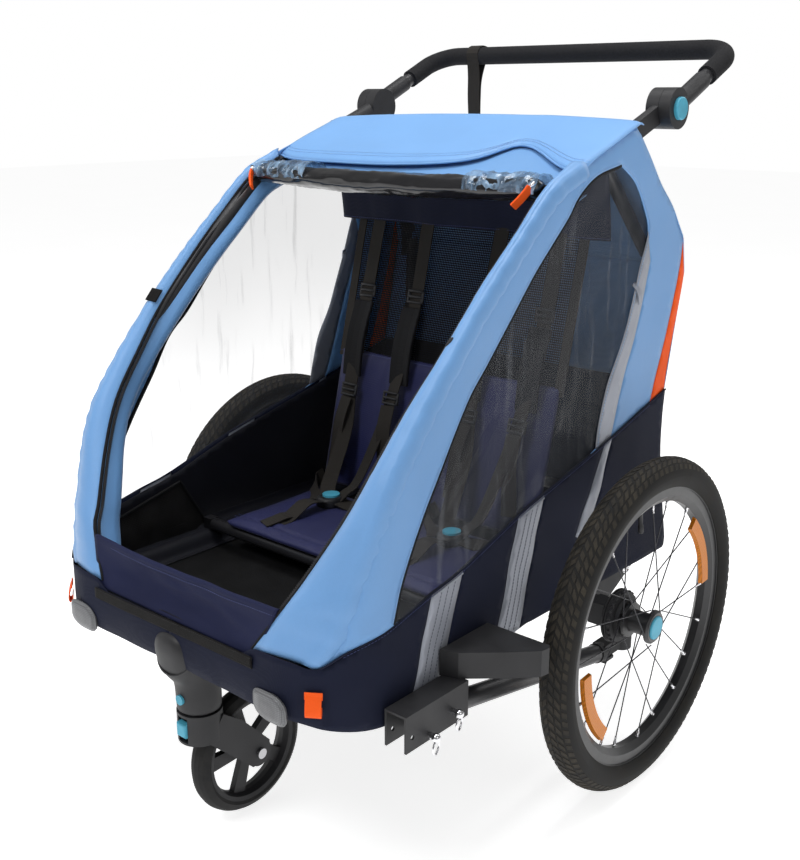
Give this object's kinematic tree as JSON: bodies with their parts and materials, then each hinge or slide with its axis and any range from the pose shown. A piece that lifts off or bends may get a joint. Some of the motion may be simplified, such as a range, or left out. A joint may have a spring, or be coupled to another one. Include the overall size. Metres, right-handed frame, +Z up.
{
  "type": "child bicycle trailer",
  "caption": "Folding fabric-covered child trailer with spoked wheels, a swivel front wheel, a push handle and a stowed tow bar.",
  "frame": {"origin": "on the ground under the middle of the outer box", "axes": "+Z up, -Y towards the nose and the front wheel, +X towards the side with the tow bar"},
  "size_m": [0.811, 0.937, 1.0694],
  "materials": {
    "frame_tube": "black powder coat",
    "black_plastic": "fine-grained black plastic",
    "mat_rubber": "ribbed black mat",
    "blue_fabric": "light blue woven polyester",
    "navy_fabric": "dark navy woven polyester",
    "clear_film": "clear flexible film",
    "black_webbing": "black webbing",
    "tyre_rubber": "black rubber with a brown cast",
    "caster_rubber": "black rubber",
    "black_rim": "black anodised",
    "spoke_steel": "black steel",
    "bearing_steel": "ground steel",
    "pin_steel": "bright plated steel",
    "foam": "black foam grip",
    "cyan_plastic": "blue-green button plastic",
    "amber_lens": "amber prism reflector",
    "clear_lens": "colourless prism reflector",
    "bar_paint": "black paint"
  },
  "bodies": {
    "chassis": {"side_rails": "frame_tube", "end_tubes": "frame_tube", "corner_connectors": "black_plastic", "seat_tube": "frame_tube", "axle_beam": "frame_tube", "axle_brackets": "black_plastic", "axle_stubs": "bearing_steel", "floor_mat": "mat_rubber", "lower_cover": "navy_fabric", "side_panels": "blue_fabric", "side_windows": "clear_film", "rear_panel": "blue_fabric", "seat_cushion": "navy_fabric", "seat_back": "navy_fabric", "harness_straps": "black_webbing", "buckle_housings": "black_plastic", "caster_bracket": "black_plastic", "front_reflectors": "clear_lens", "wheel_guards": "black_plastic", "hitch_bracket": "black_plastic"},
    "hoop": {"side_hoops": "frame_tube", "hoop_crossbars": "frame_tube", "knuckle_bases": "black_plastic", "roof_panel": "blue_fabric", "rolled_cover": "black_webbing"},
    "rear_uprights": {"rear_frame": "frame_tube"},
    "handle": {"knuckle_arms": "black_plastic", "handle_tube": "frame_tube", "handle_grip": "foam", "wrist_strap": "black_webbing"},
    "knuckle_button_right": {"knuckle_button_right": "cyan_plastic"},
    "knuckle_button_left": {"knuckle_button_left": "cyan_plastic"},
    "swivel_fork": {"caster_fork": "black_plastic", "caster_axle": "bearing_steel"},
    "swivel_wheel": {"caster_tyre": "caster_rubber", "caster_core": "black_plastic"},
    "swivel_lock": {"swivel_lock_tab": "cyan_plastic"},
    "release_button": {"caster_release_button": "cyan_plastic"},
    "tow_arm": {"tow_bar": "bar_paint", "tow_socket": "black_plastic"},
    "tow_tongue": {"tow_coupling": "black_plastic"},
    "lock_pin": {"hitch_pin_front": "pin_steel"},
    "pivot_pin": {"hitch_pin_rear": "pin_steel"},
    "brake": {"brake_pedal": "black_plastic"},
    "buckle_button_right": {"buckle_button_right": "cyan_plastic"},
    "buckle_button_left": {"buckle_button_left": "cyan_plastic"},
    "wheel_right": {"tyre_right": "tyre_rubber", "rim_right": "black_rim", "hub_right": "black_rim", "hub_bearings_right": "bearing_steel", "spokes_right": "spoke_steel", "spoke_reflectors_right": "amber_lens"},
    "hub_button_right": {"hub_button_right": "cyan_plastic"},
    "wheel_left": {"tyre_left": "tyre_rubber", "rim_left": "black_rim", "hub_left": "black_rim", "hub_bearings_left": "bearing_steel", "spokes_left": "spoke_steel", "spoke_reflectors_left": "amber_lens"},
    "hub_button_left": {"hub_button_left": "cyan_plastic"}
  },
  "joints": [
    {"name": "frame_fold", "type": "hinge", "parent": "chassis", "child": "hoop", "pos_m": [0, -0.418, 0.318], "axis": [-1, 0, 0], "range_deg": [0, 35], "deforming": ["side_panels", "side_windows", "rear_panel", "seat_back", "harness_straps"]},
    {"name": "rear_fold", "type": "hinge", "parent": "chassis", "child": "rear_uprights", "pos_m": [0, 0.297, 0.3], "axis": [1, 0, 0], "range_deg": [0, 87.5]},
    {"name": "handle_tilt", "type": "hinge", "parent": "hoop", "child": "handle", "pos_m": [0, 0.2651, 0.9661], "axis": [1, 0, 0], "range_deg": [-75, 75]},
    {"name": "knuckle_press_right", "type": "slide", "parent": "handle", "child": "knuckle_button_right", "axis": [-1, 0, 0], "range_m": [0, 0.0045], "stiffness_N_per_m": 900},
    {"name": "knuckle_press_left", "type": "slide", "parent": "handle", "child": "knuckle_button_left", "axis": [1, 0, 0], "range_m": [0, 0.0045], "stiffness_N_per_m": 900},
    {"name": "fork_swivel", "type": "hinge", "parent": "chassis", "child": "swivel_fork", "pos_m": [0, -0.41, 0.19], "axis": [0, 0, 1], "continuous": true},
    {"name": "front_wheel_spin", "type": "hinge", "parent": "swivel_fork", "child": "swivel_wheel", "pos_m": [0, -0.331, 0.095], "axis": [1, 0, 0], "continuous": true},
    {"name": "swivel_lock_slide", "type": "slide", "parent": "swivel_fork", "child": "swivel_lock", "axis": [0, 0, -1], "range_m": [0, 0.006]},
    {"name": "release_press", "type": "slide", "parent": "chassis", "child": "release_button", "axis": [0, 1, 0], "range_m": [0, 0.003], "stiffness_N_per_m": 800},
    {"name": "tow_arm_swing", "type": "hinge", "parent": "chassis", "child": "tow_arm", "pos_m": [0.313, -0.278, 0.2531], "axis": [1, 0, 0], "range_deg": [0, 3.5]},
    {"name": "tongue_swivel", "type": "hinge", "parent": "tow_arm", "child": "tow_tongue", "pos_m": [0.313, 0.118, 0.177], "axis": [0, 0, 1], "range_deg": [-40, 40]},
    {"name": "lock_pin_slide", "type": "slide", "parent": "chassis", "child": "lock_pin", "axis": [1, 0, 0], "range_m": [0, 0.05]},
    {"name": "pivot_pin_slide", "type": "slide", "parent": "chassis", "child": "pivot_pin", "axis": [1, 0, 0], "range_m": [0, 0.05]},
    {"name": "brake_press", "type": "hinge", "parent": "chassis", "child": "brake", "pos_m": [0, 0.142, 0.24], "axis": [-1, 0, 0], "range_deg": [0, 30]},
    {"name": "buckle_press_right", "type": "slide", "parent": "chassis", "child": "buckle_button_right", "axis": [0, 0, -1], "range_m": [0, 0.003], "stiffness_N_per_m": 600},
    {"name": "buckle_press_left", "type": "slide", "parent": "chassis", "child": "buckle_button_left", "axis": [0, 0, -1], "range_m": [0, 0.003], "stiffness_N_per_m": 600},
    {"name": "wheel_spin_right", "type": "hinge", "parent": "chassis", "child": "wheel_right", "pos_m": [0.382, 0.102, 0.2475], "axis": [1, 0, 0], "continuous": true},
    {"name": "hub_press_right", "type": "slide", "parent": "wheel_right", "child": "hub_button_right", "axis": [-1, 0, 0], "range_m": [0, 0.003], "stiffness_N_per_m": 900},
    {"name": "wheel_spin_left", "type": "hinge", "parent": "chassis", "child": "wheel_left", "pos_m": [-0.382, 0.102, 0.2475], "axis": [1, 0, 0], "continuous": true},
    {"name": "hub_press_left", "type": "slide", "parent": "wheel_left", "child": "hub_button_left", "axis": [1, 0, 0], "range_m": [0, 0.003], "stiffness_N_per_m": 900}
  ],
  "couplings": [
    {"joint": "rear_fold", "follows": "frame_fold", "ratio": 2.5}
  ]
}
